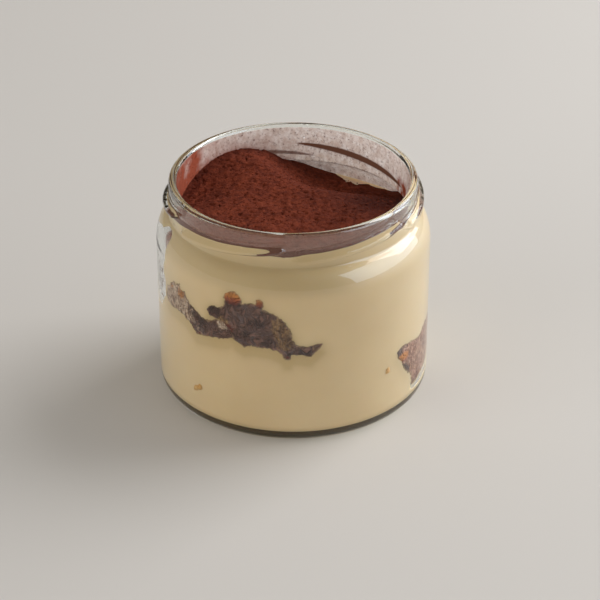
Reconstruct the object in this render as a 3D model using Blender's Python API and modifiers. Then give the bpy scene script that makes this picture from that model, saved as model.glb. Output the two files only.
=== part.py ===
"""A tiramisu served in a short glass jar: the jar, its cream, three soaked sponge pieces and the
cocoa dusted on top.

The jar stands on the ground plane with its axis on Z. The side that a guest sees faces -Y.
Angles round the jar are measured from -Y towards +X.
"""

import bmesh
import bpy
from math import cos, exp, pi, radians, sin
from mathutils import Vector

# ---------------------------------------------------------------- driving sizes, in metres
JAR_HEIGHT = 0.0720
BODY_RADIUS = 0.0435
NECK_RADIUS = 0.0391
NECK_FOOT_Z = 0.0602
SHOULDER_Z = 0.0510
BODY_WALL = 0.0028
NECK_WALL = 0.0025
BASE_THICKNESS = 0.0030
BASE_CROWN = 0.0005
HEEL_RADIUS = 0.0048
INNER_HEEL_RADIUS = 0.0030
BEARING_RING_WIDTH = 0.0020
PUSH_UP = 0.0008
TURN_STEPS = 48

LUG_COUNT = 6
LUG_SPAN = radians(58)
LUG_FIRST_ANGLE = radians(-61)
LUG_FOOT_Z = 0.0632
LUG_RISE = 0.0034
LUG_HEIGHT = 0.0032
LUG_DEPTH = 0.0020
LUG_ROOT = 0.0006
LUG_RINGS = 7

GAP = 0.0003
WELD = 0.0001

CREAM_LEVEL = 0.0628
COCOA_THICKNESS = 0.0016
SPOON_MARK = radians(152)
BARE_PATCH = radians(146)
BARE_PATCH_WIDTH = radians(16)
BARE_PATCH_RADIUS = 0.0345
SURFACE_RINGS = 8
SURFACE_SEGMENTS = 44

SPONGE_POINTS = 14
SPONGE_RINGS = 8


# ---------------------------------------------------------------- scene and collections
def clear_scene():
    for thing in list(bpy.data.objects):
        bpy.data.objects.remove(thing, do_unlink=True)


def new_collection(name):
    collection = bpy.data.collections.new(name)
    bpy.context.scene.collection.children.link(collection)
    return collection


def new_material(name, colour, roughness, transmission=0.0, ior=1.45):
    material = bpy.data.materials.new(name)
    material.use_nodes = True
    shader = material.node_tree.nodes["Principled BSDF"]
    shader.inputs["Base Color"].default_value = (*colour, 1.0)
    shader.inputs["Roughness"].default_value = roughness
    shader.inputs["Metallic"].default_value = 0.0
    shader.inputs["Transmission Weight"].default_value = transmission
    shader.inputs["IOR"].default_value = ior
    return material


def add_object(name, mesh, collection, material=None):
    thing = bpy.data.objects.new(name, mesh)
    collection.objects.link(thing)
    if material is not None:
        mesh.materials.append(material)
    return thing


def add_cutter(name, mesh):
    cutter = add_object(name, mesh, CUTTERS)
    cutter.hide_render = True
    cutter.display_type = "WIRE"
    return cutter


def boolean(thing, operation, other):
    modifier = thing.modifiers.new(operation.title() + " " + other.name, "BOOLEAN")
    modifier.operation = operation
    modifier.solver = "EXACT"
    modifier.object = other


def finish_mesh(name, bm):
    bmesh.ops.recalc_face_normals(bm, faces=bm.faces[:])
    mesh = bpy.data.meshes.new(name)
    bm.to_mesh(mesh)
    bm.free()
    return mesh


# ---------------------------------------------------------------- turned shapes
def ellipse_arc(centre, half_width, half_height, start, end, steps):
    """Points in (radius, height) along part of an ellipse, angles in degrees from +X."""
    points = []
    for k in range(steps + 1):
        angle = radians(start + (end - start) * k / steps)
        points.append((centre[0] + half_width * cos(angle), centre[1] + half_height * sin(angle)))
    return points


def turned_mesh(name, profile):
    mesh = bpy.data.meshes.new(name)
    edges = [(k, k + 1) for k in range(len(profile) - 1)]
    mesh.from_pydata([(radius, 0.0, height) for radius, height in profile], edges, [])
    return mesh


def turn(thing):
    screw = thing.modifiers.new("Turn", "SCREW")
    screw.steps = TURN_STEPS
    screw.render_steps = TURN_STEPS
    screw.use_merge_vertices = True
    screw.merge_threshold = WELD
    screw.use_smooth_shade = True


def outer_profile():
    """The jar's outside, from the crown of the lip down to the middle of the base."""
    lip = NECK_WALL / 2
    shoulder_width = 0.0050
    shoulder_rise = 0.0093
    ring_outer = BODY_RADIUS - HEEL_RADIUS
    ring_inner = ring_outer - BEARING_RING_WIDTH
    points = ellipse_arc((NECK_RADIUS - lip, JAR_HEIGHT - lip), lip, lip, 90, 0, 4)
    points += [(NECK_RADIUS, NECK_FOOT_Z + 0.0010), (NECK_RADIUS + 0.0002, NECK_FOOT_Z + 0.0003)]
    points += ellipse_arc((BODY_RADIUS - shoulder_width, SHOULDER_Z), shoulder_width, shoulder_rise, 74, 0, 5)
    points += ellipse_arc((ring_outer, HEEL_RADIUS), HEEL_RADIUS, HEEL_RADIUS, 0, -90, 5)
    points += [(ring_inner, 0.0), (ring_inner - 0.0020, PUSH_UP / 2), (0.0, PUSH_UP)]
    return points


def inner_profile(gap):
    """The hollow of the jar, drawn in by a gap, from the mouth down to the middle of the floor."""
    neck = NECK_RADIUS - NECK_WALL - gap
    body = BODY_RADIUS - BODY_WALL - gap
    floor = BASE_THICKNESS + gap
    shoulder_width = 0.0048
    shoulder_rise = 0.0080
    heel_centre = (body - INNER_HEEL_RADIUS, floor + INNER_HEEL_RADIUS)
    points = [(neck, JAR_HEIGHT - NECK_WALL / 2)]
    points += ellipse_arc((body - shoulder_width, SHOULDER_Z - gap), shoulder_width, shoulder_rise, 81, 0, 5)
    points += ellipse_arc(heel_centre, INNER_HEEL_RADIUS, INNER_HEEL_RADIUS, 0, -90, 5)
    points.append((0.0, floor + BASE_CROWN))
    return points


def jar_profile():
    """The whole glass wall: up the inside from the floor, over the lip and down the outside."""
    lip = NECK_WALL / 2
    inside = inner_profile(0.0)[::-1]
    over_lip = ellipse_arc((NECK_RADIUS - lip, JAR_HEIGHT - lip), lip, lip, 150, 120, 1)
    return inside + over_lip + outer_profile()


# ---------------------------------------------------------------- lofts and surfaces
def loft_mesh(name, rings):
    """A closed skin over rings of points that all have the same number of points."""
    bm = bmesh.new()
    loops = [[bm.verts.new(point) for point in ring] for ring in rings]
    count = len(loops[0])
    for lower, upper in zip(loops[:-1], loops[1:]):
        for k in range(count):
            after = (k + 1) % count
            bm.faces.new((lower[k], lower[after], upper[after], upper[k]))
    bm.faces.new(loops[0])
    bm.faces.new(loops[-1])
    return finish_mesh(name, bm)


def around(angle, radius, height):
    """A point at an angle round the jar, measured from -Y towards +X."""
    return Vector((radius * sin(angle), -radius * cos(angle), height))


def bump(x, y, angle, radius, reach):
    """A soft hill of height 1, centred at an angle and a radius."""
    centre = around(angle, radius, 0.0)
    square = (x - centre.x) ** 2 + (y - centre.y) ** 2
    return exp(-square / (2 * reach * reach))


def scoop(x, y, angle, radius, reach):
    """A hollow of depth 1 with a flat floor, as a spoon leaves."""
    centre = around(angle, radius, 0.0)
    square = (x - centre.x) ** 2 + (y - centre.y) ** 2
    return exp(-((square / (reach * reach)) ** 2))


def cream_top(x, y):
    """The uneven top of the cream: high in front, spooned low behind on the right."""
    level = CREAM_LEVEL - 0.012 * x - 0.020 * y
    level += 0.0015 * bump(x, y, radians(-146), 0.030, 0.0115)
    level -= 0.0046 * bump(x, y, radians(-103), 0.037, 0.0105)
    level -= 0.0090 * scoop(x, y, SPOON_MARK, 0.037, 0.0230)
    level -= 0.0045 * bump(x, y, radians(108), 0.037, 0.0080)
    level += 0.0017 * bump(x, y, radians(42), 0.038, 0.0090)
    level += 0.0004 * sin(x * 210) * cos(y * 170)
    return level


def cocoa_bottom(x, y):
    return cream_top(x, y) + GAP


def cocoa_top(x, y):
    grain = 0.0003 * sin(x * 640 + 1.3) * sin(y * 590)
    return cream_top(x, y) + GAP + COCOA_THICKNESS + grain


def far_above(x, y):
    return JAR_HEIGHT + 0.020


def past_the_wall(angle):
    return BODY_RADIUS + 0.004


def cocoa_edge(angle):
    """How far the cocoa reaches: past the wall, but short of it at the bare patch of cream."""
    full = BODY_RADIUS + 0.002
    bare = exp(-((angle - BARE_PATCH) / BARE_PATCH_WIDTH) ** 4)
    return full - (full - BARE_PATCH_RADIUS) * bare


def surface_slab_mesh(name, edge, low, high):
    """A disc whose underside and top follow two height functions, with its rim at edge(angle)."""
    bm = bmesh.new()
    spoke = [bm.verts.new((k / SURFACE_RINGS, 0.0, 0.0)) for k in range(SURFACE_RINGS + 1)]
    ribs = [bm.edges.new((a, b)) for a, b in zip(spoke[:-1], spoke[1:])]
    bmesh.ops.spin(bm, geom=spoke + ribs, cent=(0, 0, 0), axis=(0, 0, 1), angle=2 * pi,
                   steps=SURFACE_SEGMENTS, use_merge=True)
    bmesh.ops.remove_doubles(bm, verts=bm.verts[:], dist=WELD)
    bottom = bm.verts[:]
    raised = bmesh.ops.extrude_face_region(bm, geom=bm.faces[:])["geom"]
    top = {item for item in raised if isinstance(item, bmesh.types.BMVert)}
    for vert in bottom + list(top):
        direction = Vector((vert.co.x, vert.co.y))
        if direction.length > WELD:
            angle = Vector((0.0, -1.0)).angle_signed(direction, 0.0)
            direction *= edge(-angle)
        height = high if vert in top else low
        vert.co = (direction.x, direction.y, height(direction.x, direction.y))
    return finish_mesh(name, bm)


# ---------------------------------------------------------------- sponge pieces
def sponge_rings(place, grow):
    """Rough rings of a torn sponge piece that runs straight through the jar."""
    heading = around(place["heading"], 1.0, 0.0)
    across = Vector((-heading.y, heading.x, 0.0))
    rings = []
    for k in range(SPONGE_RINGS):
        along = -1.0 + 2.0 * k / (SPONGE_RINGS - 1)
        centre = -heading * along * (BODY_RADIUS + 0.006)
        centre += across * (place["offset"] + 0.0010 * sin(3 * along + place["seed"]))
        centre.z = place["height"] + place["fall"] * (along + 1) / 2
        slim = 1.0 - 0.12 * (1 - cos(2 * along + place["seed"])) / 2
        ring = []
        for j in range(SPONGE_POINTS):
            turn_angle = 2 * pi * j / SPONGE_POINTS
            rough = 1 + 0.07 * sin(3 * turn_angle + place["seed"] + along)
            rough += 0.05 * sin(5 * turn_angle + 2 * place["seed"] - 2 * along)
            flat = (place["half_width"] * slim * rough + grow) * cos(turn_angle)
            rise = (place["half_height"] * slim * rough + grow) * sin(turn_angle)
            side = flat * cos(place["roll"]) - rise * sin(place["roll"])
            up = flat * sin(place["roll"]) + rise * cos(place["roll"])
            ring.append(centre + across * side + Vector((0.0, 0.0, up)))
        rings.append(ring)
    return rings


SPONGES = {
    "sponge_front": dict(heading=0.0, offset=-0.0085, height=0.0408, fall=-0.0030, roll=radians(-17),
                         half_width=0.0180, half_height=0.0052, seed=0.6),
    "sponge_left": dict(heading=0.0, offset=-0.0300, height=0.0378, fall=-0.0050, roll=radians(-11),
                        half_width=0.0092, half_height=0.0038, seed=2.1),
    "sponge_right": dict(heading=radians(61), offset=0.0, height=0.0168, fall=0.0010, roll=radians(6),
                         half_width=0.0095, half_height=0.0070, seed=3.7),
}


# ---------------------------------------------------------------- the jar
def lug_rings(start):
    """Rings of one slanted thread lug, full at its foot and thinned to a point at its head."""
    rings = []
    for k in range(LUG_RINGS):
        share = k / (LUG_RINGS - 1)
        angle = start + LUG_SPAN * share
        swell = min(1.0, 0.35 + 4 * share, 0.12 + 1.6 * (1 - share))
        middle = LUG_FOOT_Z + LUG_RISE * share
        half = LUG_HEIGHT / 2 * swell
        root = NECK_RADIUS - LUG_ROOT
        crest = NECK_RADIUS + LUG_DEPTH * swell
        section = [(root, -half), (NECK_RADIUS + 0.4 * (crest - NECK_RADIUS), -half), (crest, -half * 0.45),
                   (crest, half * 0.35), (NECK_RADIUS + 0.4 * (crest - NECK_RADIUS), half), (root, half)]
        rings.append([around(angle, radius, middle + rise) for radius, rise in section])
    return rings


def make_jar():
    jar = add_object("glass_jar", turned_mesh("glass_jar", jar_profile()), PARTS, GLASS)
    turn(jar)
    for k in range(LUG_COUNT):
        start = LUG_FIRST_ANGLE + 2 * pi * k / LUG_COUNT
        cutter = add_cutter("lug_%d" % (k + 1), loft_mesh("lug", lug_rings(start)))
        boolean(jar, "UNION", cutter)


# ---------------------------------------------------------------- the filling
def filling_object(name, collection, material=None):
    """The hollow of the jar as a solid, clear of the glass by the gap."""
    rim_z = inner_profile(GAP)[0][1]
    profile = [(0.0, rim_z)] + inner_profile(GAP)
    filling = add_object(name, turned_mesh(name, profile), collection, material)
    turn(filling)
    return filling


def make_cream():
    cream = filling_object("cream", PARTS, CREAM)
    above = add_cutter("above_cream", surface_slab_mesh("above_cream", past_the_wall, cream_top, far_above))
    boolean(cream, "DIFFERENCE", above)
    for name, place in SPONGES.items():
        room = add_cutter("room_for_" + name, loft_mesh(name, sponge_rings(place, GAP)))
        boolean(cream, "DIFFERENCE", room)


def make_sponges(filling):
    for name, place in SPONGES.items():
        sponge = add_object(name, loft_mesh(name, sponge_rings(place, 0.0)), PARTS, SPONGE)
        boolean(sponge, "INTERSECT", filling)


def make_cocoa(filling):
    layer = surface_slab_mesh("cocoa_layer", cocoa_edge, cocoa_bottom, cocoa_top)
    cocoa = add_object("cocoa_layer", layer, PARTS, COCOA)
    boolean(cocoa, "INTERSECT", filling)


clear_scene()
PARTS = new_collection("tiramisu_in_glass_jar")
CUTTERS = new_collection("cutters")
GLASS = new_material("clear glass", (0.93, 0.96, 0.94), 0.02, transmission=1.0, ior=1.5)
CREAM = new_material("mascarpone cream", (0.78, 0.66, 0.47), 0.45)
SPONGE = new_material("coffee soaked sponge", (0.16, 0.085, 0.045), 0.6)
COCOA = new_material("cocoa powder", (0.12, 0.030, 0.016), 0.95)

make_jar()
make_cream()
HOLLOW = filling_object("hollow_of_jar", CUTTERS)
HOLLOW.hide_render = True
HOLLOW.display_type = "WIRE"
make_sponges(HOLLOW)
make_cocoa(HOLLOW)
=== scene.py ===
# %% [markdown]
# # A tiramisu in a short glass jar
# The real thing is a squat twist-off jar, filled with pale mascarpone cream. Pieces of sponge soaked
# in coffee lie in the cream and show where they touch the glass, and sifted cocoa covers the top.
# The measured solids come first. They fix every size, and the pieces below are finer shapes that
# stand in their places.

# %% Load the measured solids
from math import cos, pi, radians, sin

import bmesh
import bpy
import numpy as np
from mathutils import Matrix, Vector, noise


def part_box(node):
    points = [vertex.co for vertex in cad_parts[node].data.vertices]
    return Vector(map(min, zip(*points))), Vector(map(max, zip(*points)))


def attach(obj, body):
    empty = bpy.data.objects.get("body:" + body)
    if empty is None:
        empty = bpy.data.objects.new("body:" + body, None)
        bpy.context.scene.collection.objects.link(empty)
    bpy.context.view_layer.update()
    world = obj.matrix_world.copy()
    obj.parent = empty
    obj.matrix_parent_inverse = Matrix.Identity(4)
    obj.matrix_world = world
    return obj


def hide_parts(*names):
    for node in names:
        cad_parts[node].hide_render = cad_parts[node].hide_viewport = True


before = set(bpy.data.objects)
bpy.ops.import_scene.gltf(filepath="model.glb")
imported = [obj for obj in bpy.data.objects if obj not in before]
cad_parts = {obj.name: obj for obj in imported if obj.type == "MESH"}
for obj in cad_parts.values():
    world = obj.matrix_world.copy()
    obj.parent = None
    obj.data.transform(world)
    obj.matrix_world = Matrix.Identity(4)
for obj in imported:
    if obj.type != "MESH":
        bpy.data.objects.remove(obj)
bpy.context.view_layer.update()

MM = 0.001
jar_low, jar_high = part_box("glass_jar")
JAR_HEIGHT = jar_high.z
BODY_RADIUS = jar_high.x
print("jar %.1f mm tall, %.1f mm across" % (JAR_HEIGHT / MM, 2 * BODY_RADIUS / MM))

# %% [markdown]
# The camera is set up first, because every later choice is judged through it. A long lens from
# about 70 cm, tilted down 30 degrees, shows both the cocoa and the side of the jar.

# %% Camera
LENS = 130.0
CAMERA_DISTANCE = 0.7006
CAMERA_TILT = radians(30.45)
AIM = Vector((0.0021, 0.0, 0.0268))

lens = bpy.data.cameras.new("camera")
lens.lens = LENS
lens.sensor_width = 36.0
lens.clip_start = 0.01
camera = bpy.data.objects.new("camera", lens)
bpy.context.scene.collection.objects.link(camera)
camera.location = AIM + CAMERA_DISTANCE * Vector((0.0, -cos(CAMERA_TILT), sin(CAMERA_TILT)))
camera.rotation_euler = (pi / 2 - CAMERA_TILT, 0.0, 0.0)
bpy.context.scene.camera = camera
print("camera at", [round(c, 3) for c in camera.location])

# %% [markdown]
# ## Light
# One large soft lamp on the right and a little behind the jar throws the soft shadow to the left. Two
# weaker ones keep the right and the left side from going dark. They light only matt surfaces, so that
# the glass doesn't mirror them. A long panel on the right does the opposite, like a window: it shows
# only as a reflection, the broad highlight on the shoulder.

# %% Lamps
JAR_MIDDLE = Vector((0.0, 0.0, 0.03))


def add_lamp(name, size, power, place, colour):
    """A rectangular lamp that is turned towards the middle of the jar."""
    data = bpy.data.lights.new(name, "AREA")
    data.shape = "RECTANGLE"
    data.size, data.size_y = size
    data.energy = power
    data.color = colour
    lamp = bpy.data.objects.new(name, data)
    bpy.context.scene.collection.objects.link(lamp)
    lamp.location = place
    lamp.rotation_euler = (JAR_MIDDLE - Vector(place)).to_track_quat("-Z", "Y").to_euler()
    return lamp


key_lamp = add_lamp("key", (0.95, 0.95), 13.5, (0.94, 0.50, 0.86), (1.0, 0.997, 0.992))
side_lamp = add_lamp("side", (1.9, 0.62), 5.2, (1.30, -0.15, 0.36), (1.0, 0.995, 0.985))
left_lamp = add_lamp("left", (1.2, 0.6), 8.0, (-1.30, -0.75, 0.36), (1.0, 0.99, 0.98))
window = add_lamp("window", (2.2, 1.25), 32.0, (1.30, -0.10, 0.60), (0.66, 0.83, 1.0))
side_lamp.visible_glossy = False
left_lamp.visible_glossy = False
window.visible_diffuse = False
for lamp in (key_lamp, side_lamp, left_lamp, window):
    print("%s lamp: %.1f W" % (lamp.name, lamp.data.energy))

# %% [markdown]
# The surround fills the shadows evenly, but where the glass mirrors or bends it, it is dark. That
# draws the dark lines along the edges of clear glass, as black cards do beside a table-top set. A
# Light Path node tells the two kinds of ray apart.

# %% Surround
FILL_COLOUR = (0.38, 0.366, 0.342, 1.0)
DARK_COLOUR = (0.085, 0.067, 0.038, 1.0)

world = bpy.data.worlds.new("surround")
bpy.context.scene.world = world
world.use_nodes = True
nodes, links = world.node_tree.nodes, world.node_tree.links
fill = nodes["Background"]
fill.inputs["Color"].default_value = FILL_COLOUR
dark = nodes.new("ShaderNodeBackground")
dark.inputs["Color"].default_value = DARK_COLOUR
ray = nodes.new("ShaderNodeLightPath")
through_glass = nodes.new("ShaderNodeMath")
through_glass.operation = "MAXIMUM"
links.new(ray.outputs["Is Glossy Ray"], through_glass.inputs[0])
links.new(ray.outputs["Is Transmission Ray"], through_glass.inputs[1])
both = nodes.new("ShaderNodeMixShader")
links.new(through_glass.outputs[0], both.inputs[0])
links.new(fill.outputs[0], both.inputs[1])
links.new(dark.outputs[0], both.inputs[2])
links.new(both.outputs[0], nodes["World Output"].inputs["Surface"])
bpy.context.scene.view_settings.view_transform = "Standard"
bpy.context.scene.view_settings.look = "None"
print("surround of", len(nodes), "nodes")


# %% [markdown]
# ## Small tools for finishes
# A material is a graph of nodes. Writing it as sums keeps it readable, so one small class wraps a
# socket and turns +, - and * into Math nodes. Another makes any other node from its settings and the
# values of its sockets, and holds short names for the few kinds that are used most.

# %% Node tools
class Wire:
    """An output socket that can be added, subtracted and multiplied."""

    def __init__(self, finish, socket):
        self.finish = finish
        self.socket = socket

    def math(self, operation, first, second=0.0):
        return self.finish.node("ShaderNodeMath", {"operation": operation}, {0: first, 1: second})

    def __add__(self, other):
        return self.math("ADD", self, other)

    def __sub__(self, other):
        return self.math("SUBTRACT", self, other)

    def __rsub__(self, other):
        return self.math("SUBTRACT", other, self)

    def __mul__(self, other):
        return self.math("MULTIPLY", self, other)

    __radd__ = __add__
    __rmul__ = __mul__


class Finish:
    """A material whose node graph is written in Python."""

    def __init__(self, name):
        self.material = bpy.data.materials.new(name)
        self.material.use_nodes = True
        self.tree = self.material.node_tree
        self.shader = self.tree.nodes["Principled BSDF"]
        self.output = self.tree.nodes["Material Output"]

    def node(self, kind, settings=None, sockets=None, out=0):
        """Makes a node, sets it up, fills its sockets and returns one of its outputs."""
        made = self.tree.nodes.new(kind)
        for key, value in (settings or {}).items():
            if key == "stops":
                self.set_stops(made.color_ramp, value)
            else:
                setattr(made, key, value)
        for key, value in (sockets or {}).items():
            self.plug(made.inputs[key], value)
        return Wire(self, made.outputs[out])

    def plug(self, socket, value):
        if isinstance(value, Wire):
            self.tree.links.new(value.socket, socket)
        else:
            socket.default_value = value

    def set_stops(self, ramp, stops):
        while len(ramp.elements) < len(stops):
            ramp.elements.new(0.5)
        for element, (place, value) in zip(ramp.elements, stops):
            element.position = place
            element.color = (value, value, value, 1.0) if isinstance(value, float) else (*value, 1.0)

    def place(self, scale=(1.0, 1.0, 1.0), turn=(0.0, 0.0, 0.0)):
        spot = self.node("ShaderNodeTexCoord", out="Object")
        return self.node("ShaderNodeMapping", None, {"Vector": spot, "Scale": scale, "Rotation": turn})

    def attribute(self, name):
        return self.node("ShaderNodeAttribute", {"attribute_name": name}, out="Fac")

    def grain(self, scale, detail=3.0, rough=0.5, vector=None, twist=0.0):
        sockets = {"Vector": vector or self.place(), "Scale": scale, "Detail": detail, "Roughness": rough,
                   "Distortion": twist}
        return self.node("ShaderNodeTexNoise", None, sockets)

    def ramp(self, factor, stops):
        return self.node("ShaderNodeValToRGB", {"stops": stops}, {"Fac": factor})

    def mix(self, factor, first, second):
        sockets = {0: factor, 6: rgba(first), 7: rgba(second)}
        return self.node("ShaderNodeMix", {"data_type": "RGBA"}, sockets, out=2)

    def bump(self, height, depth):
        return self.node("ShaderNodeBump", None, {"Height": height, "Distance": depth})

    def set(self, **sockets):
        """Fills sockets of the Principled shader, with _ for each space in their names."""
        for key, value in sockets.items():
            self.plug(self.shader.inputs[key.replace("_", " ")], value)


def rgba(value):
    """A colour of three numbers gets its fourth; anything else is left as it is."""
    return (*value, 1.0) if isinstance(value, tuple) and len(value) == 3 else value


def srgb(red, green, blue):
    """A linear colour from the 0 to 255 numbers of a colour card."""
    def linear(part):
        part = part / 255.0
        return part / 12.92 if part <= 0.04045 else ((part + 0.055) / 1.055) ** 2.4
    return (linear(red), linear(green), linear(blue))


# %% [markdown]
# The floor is one pale matt plane, wide enough to fill every view.

# %% Floor
FLOOR_HALF_WIDTH = 4.0

floor_mesh = bpy.data.meshes.new("floor")
bm = bmesh.new()
bmesh.ops.create_grid(bm, x_segments=1, y_segments=1, size=FLOOR_HALF_WIDTH)
bm.to_mesh(floor_mesh)
bm.free()
floor = bpy.data.objects.new("floor", floor_mesh)
bpy.context.scene.collection.objects.link(floor)
paint = Finish("floor paint")
paint.set(Base_Color=(0.66, 0.635, 0.61, 1.0), Roughness=0.7)
floor_mesh.materials.append(paint.material)
print("floor %.0f m wide" % (2 * FLOOR_HALF_WIDTH))

# %% [markdown]
# ## Shape tools
# A jar, the cream in it and the dust on its wall are all turned shapes: a profile of points is spun
# round the Z axis. Their surfaces are then pushed about by functions of the angle and the height,
# because cream and glass both follow the same inner wall. Angles are measured from -Y, the side that
# is looked at, towards +X, in degrees.

# %% Sizes of the jar
NECK_RADIUS = 39.1 * MM
NECK_FOOT_Z = 60.2 * MM
SHOULDER_Z = 51.0 * MM
BODY_WALL = 2.8 * MM
NECK_WALL = 2.5 * MM
BASE_THICKNESS = 3.0 * MM
HEEL_RADIUS = 4.8 * MM
INNER_HEEL_RADIUS = 3.0 * MM
PUSH_UP = 0.8 * MM
NECK_INSIDE = NECK_RADIUS - NECK_WALL
BODY_INSIDE = BODY_RADIUS - BODY_WALL
print("%.1f mm across inside, %.1f mm at the mouth" % (2 * BODY_INSIDE / MM, 2 * NECK_INSIDE / MM))

# %% Profiles and spinning
SEGMENTS = 360


def arc(centre, width, height, start, end, steps):
    """Points in (radius, height) along part of an ellipse, from one angle to another in degrees."""
    angles = [radians(start + (end - start) * k / steps) for k in range(steps + 1)]
    return [(centre[0] + width * cos(a), centre[1] + height * sin(a)) for a in angles]


def spin_profile(points, segments=SEGMENTS):
    """A closed skin: the profile spun once round Z, with its poles and its seam merged."""
    bm = bmesh.new()
    verts = [bm.verts.new((radius, 0.0, height)) for radius, height in points]
    edges = [bm.edges.new(pair) for pair in zip(verts[:-1], verts[1:])]
    bmesh.ops.spin(bm, geom=verts + edges, cent=(0, 0, 0), axis=(0, 0, 1), angle=2 * pi,
                   steps=segments, use_merge=True)
    bmesh.ops.remove_doubles(bm, verts=bm.verts[:], dist=1e-7)
    bmesh.ops.recalc_face_normals(bm, faces=bm.faces[:])
    return bm


def make_piece(name, bm, finish):
    """Turns a bmesh into a smooth object that belongs to the jar's body."""
    mesh = bpy.data.meshes.new(name)
    bm.to_mesh(mesh)
    bm.free()
    mesh.shade_smooth()
    mesh.materials.append(finish.material)
    piece = bpy.data.objects.new(name, mesh)
    bpy.context.scene.collection.objects.link(piece)
    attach(piece, "root")
    mesh.calc_loop_triangles()
    print("%s: %d triangles" % (name, len(mesh.loop_triangles)))
    return piece


# %% Points and soft steps
def points_of(bm):
    return np.array([vert.co for vert in bm.verts])


def places_on(piece):
    return np.array([vert.co for vert in piece.data.vertices])


def add_attribute(piece, name, values):
    """Stores a number on each point of a piece, for its material to read."""
    layer = piece.data.attributes.new(name, "FLOAT", "POINT")
    layer.data.foreach_set("value", np.asarray(values, np.float32))


def move_points(bm, places):
    for vert, place in zip(bm.verts, places):
        vert.co = place


def polar(places):
    """Angle from -Y towards +X in degrees, radius and height of each point."""
    angle = np.degrees(np.arctan2(places[:, 0], -places[:, 1]))
    return angle, np.hypot(places[:, 0], places[:, 1]), places[:, 2]


def from_polar(angle, radius, height):
    turn = np.radians(angle)
    return np.stack([radius * np.sin(turn), -radius * np.cos(turn), height], axis=1)


def smooth_step(value):
    """Runs softly from 0 to 1 as the value does, and stays there beyond."""
    value = np.clip(value, 0.0, 1.0)
    return value * value * (3 - 2 * value)


def bell(value, middle, width, power=2):
    """1 at the middle and 0 far away; a power of 4 makes its top flat and its sides steep."""
    return np.exp(-(((value - middle) / width) ** power))


ROUGH_FALL = 0.9
ROUGH_STEP = 2.1


def rough(places, size, depth=4, seed=0.0):
    """Layered noise from about -1 to 1 at each place; size is the width of its largest lumps."""
    shift = Vector((seed * 7.3, seed * 3.1, seed * 5.7))
    return np.array([noise.fractal(Vector(place) / size + shift, ROUGH_FALL, ROUGH_STEP, depth)
                     for place in places])


# %% [markdown]
# ## The glass jar
# Such a jar is pressed and blown in one piece. Its lip is round, six slanted lugs on the neck take
# the lid, and the heel runs round to a flat bearing ring with the base pushed up inside it. The wall
# has its true thickness, because the bright and dark lines in glass come from light that bends at
# both faces. The profile is half of the jar's section: up the inside, over the lip and down the
# outside. Its rows lie close together on the neck, where the lugs are raised later.

# %% Jar profile
SHOULDER_WIDTH = 5.0 * MM
SHOULDER_RISE = 9.3 * MM
INNER_SHOULDER_WIDTH = 4.8 * MM
INNER_SHOULDER_RISE = 8.0 * MM
LIP_TO_ROWS = 1.0 * MM
ROWS_TO_FOOT = 1.2 * MM
LUG_ROW = 0.14 * MM
NECK_FILLET = [(0.02, 0.9), (0.10, 0.5), (0.28, 0.15)]


def outer_profile():
    lip = NECK_WALL / 2
    ring = BODY_RADIUS - HEEL_RADIUS
    points = arc((NECK_RADIUS - lip, JAR_HEIGHT - lip), lip, lip, 90, 0, 10)
    z = JAR_HEIGHT - lip - LIP_TO_ROWS
    while z > NECK_FOOT_Z + ROWS_TO_FOOT:
        points.append((NECK_RADIUS, z))
        z -= LUG_ROW
    points += [(NECK_RADIUS + out * MM, NECK_FOOT_Z + up * MM) for out, up in NECK_FILLET]
    points += arc((BODY_RADIUS - SHOULDER_WIDTH, SHOULDER_Z), SHOULDER_WIDTH, SHOULDER_RISE, 74, 0, 20)
    points += [(BODY_RADIUS, SHOULDER_Z - k * (SHOULDER_Z - HEEL_RADIUS) / 6) for k in range(1, 6)]
    points += arc((ring, HEEL_RADIUS), HEEL_RADIUS, HEEL_RADIUS, 0, -90, 12)
    points += [(ring - 2.0 * MM, 0.0), (ring - 2.8 * MM, 0.15 * MM), (ring - 4.0 * MM, PUSH_UP * 0.6)]
    points += [(ring - 7.0 * MM, PUSH_UP * 0.9), (ring / 2, PUSH_UP), (0.0, PUSH_UP)]
    return points


def inner_profile():
    heel = (BODY_INSIDE - INNER_HEEL_RADIUS, BASE_THICKNESS + INNER_HEEL_RADIUS)
    points = [(0.0, BASE_THICKNESS + 0.5 * MM), (heel[0] / 2, BASE_THICKNESS + 0.35 * MM)]
    points += arc(heel, INNER_HEEL_RADIUS, INNER_HEEL_RADIUS, -90, 0, 12)
    points += [(BODY_INSIDE, heel[1] + k * (SHOULDER_Z - heel[1]) / 6) for k in range(1, 6)]
    points += arc((BODY_INSIDE - INNER_SHOULDER_WIDTH, SHOULDER_Z), INNER_SHOULDER_WIDTH,
                  INNER_SHOULDER_RISE, 0, 81, 16)
    points += [(NECK_INSIDE, z * MM) for z in (59.8, 61.5, 64.0, 67.0, 69.5)]
    return points


def jar_profile():
    lip = NECK_WALL / 2
    crown = arc((NECK_RADIUS - lip, JAR_HEIGHT - lip), lip, lip, 180, 99, 9)
    return inner_profile() + crown + outer_profile()


print("jar profile of", len(jar_profile()), "points")

# %% [markdown]
# A lug is a short slanted rib that a lid's edge hooks under. Ribs laid on the neck would leave seams
# that glass shows as dark lines, so the neck's own points are pushed out instead, and the whole jar
# stays one smooth skin. As in most pressed glass, the ring of lugs isn't quite level.

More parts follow.
